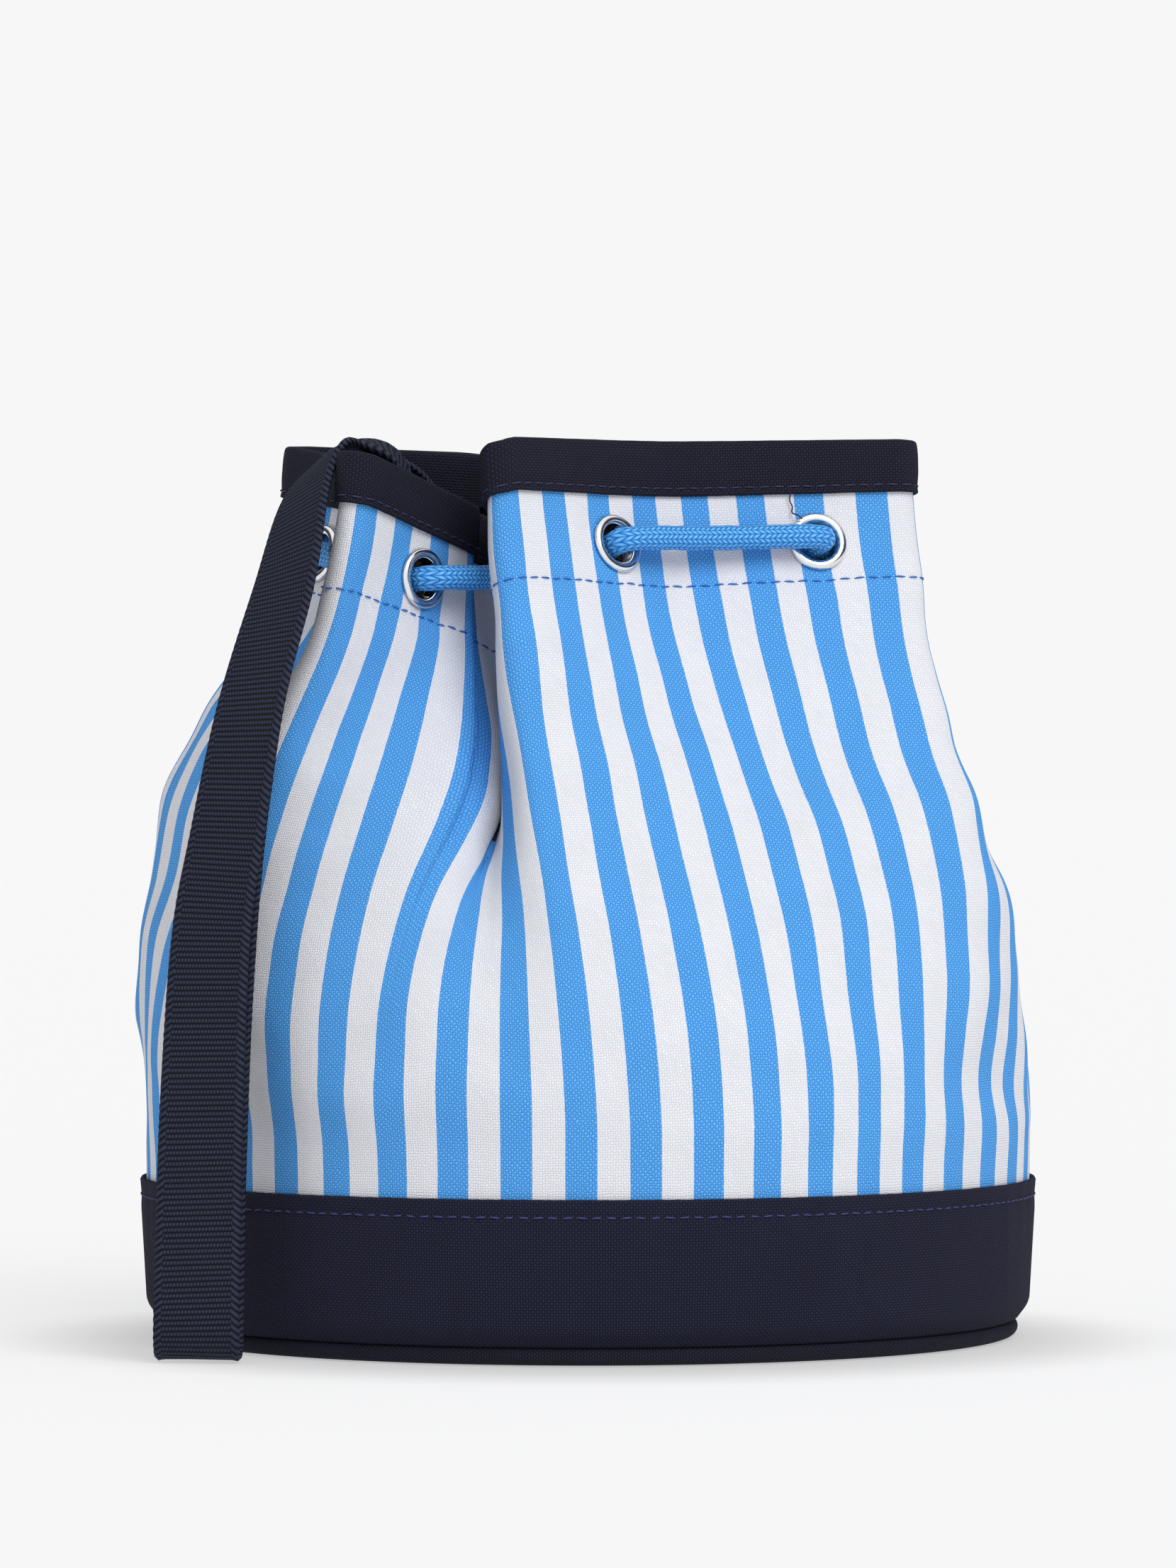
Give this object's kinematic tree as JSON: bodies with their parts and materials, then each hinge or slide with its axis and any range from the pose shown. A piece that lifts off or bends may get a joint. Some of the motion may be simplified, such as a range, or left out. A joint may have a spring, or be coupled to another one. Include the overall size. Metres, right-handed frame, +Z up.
{
  "type": "drawstring bucket bag",
  "caption": "Small round-based striped canvas bucket bag, drawn in at the mouth by a cord through metal eyelets, with a navy webbing strap.",
  "frame": {"origin": "on the floor, at the centre of the round sole", "axes": "+Z up; the front, with the fold in the mouth and the strap at its left, faces -Y; +X to the right seen from the front"},
  "size_m": [0.2165, 0.2148, 0.2159],
  "materials": {
    "striped_canvas": "woven canvas in blue and white upright stripes, about 7.4 mm each",
    "navy_canvas": "plain woven navy canvas, matte",
    "dark_lining": "dark navy lining cloth, matte",
    "navy_webbing": "ribbed navy webbing with a chain selvedge",
    "blue_cord": "round braided cord, slight sheen",
    "silver_metal": "polished silver, rolled edges",
    "base_board": "grey-brown stiffener board, hidden"
  },
  "bodies": {
    "bag": {"front_panel": "striped_canvas", "back_panel": "striped_canvas", "lining_wall": "dark_lining", "lining_floor": "dark_lining", "rim_binding": "navy_canvas", "base_band": "navy_canvas", "base_welt": "navy_canvas", "sole_panel": "navy_canvas", "base_board": "base_board", "drawstring": "blue_cord", "strap_end_left": "navy_webbing", "strap_end_right": "navy_webbing", "eyelet_01": "silver_metal", "eyelet_02": "silver_metal", "eyelet_03": "silver_metal", "eyelet_04": "silver_metal", "eyelet_05": "silver_metal", "eyelet_06": "silver_metal", "eyelet_07": "silver_metal", "eyelet_08": "silver_metal", "eyelet_09": "silver_metal", "eyelet_10": "silver_metal", "eyelet_11": "silver_metal", "eyelet_12": "silver_metal", "eyelet_13": "silver_metal", "eyelet_14": "silver_metal", "washer_01": "silver_metal", "washer_02": "silver_metal", "washer_03": "silver_metal", "washer_04": "silver_metal", "washer_05": "silver_metal", "washer_06": "silver_metal", "washer_07": "silver_metal", "washer_08": "silver_metal", "washer_09": "silver_metal", "washer_10": "silver_metal", "washer_11": "silver_metal", "washer_12": "silver_metal", "washer_13": "silver_metal", "washer_14": "silver_metal"},
    "strap": {"strap_loop": "navy_webbing"},
    "tail_left": {"drawstring_tail_left": "blue_cord", "tail_knot_left": "blue_cord"},
    "tail_right": {"drawstring_tail_right": "blue_cord", "tail_knot_right": "blue_cord"}
  },
  "joints": [
    {"name": "strap_swing", "type": "hinge", "parent": "bag", "child": "strap", "pos_m": [-0.0575, -0.042, 0.2135], "axis": [0, 1, 0], "range_deg": [0, 110]},
    {"name": "tail_left_swing", "type": "hinge", "parent": "bag", "child": "tail_left", "pos_m": [-0.0048, 0.066, 0.1842], "axis": [1, 0, 0], "range_deg": [0, 80]},
    {"name": "tail_right_swing", "type": "hinge", "parent": "bag", "child": "tail_right", "pos_m": [0.003, 0.066, 0.1842], "axis": [1, 0, 0], "range_deg": [0, 80]}
  ]
}
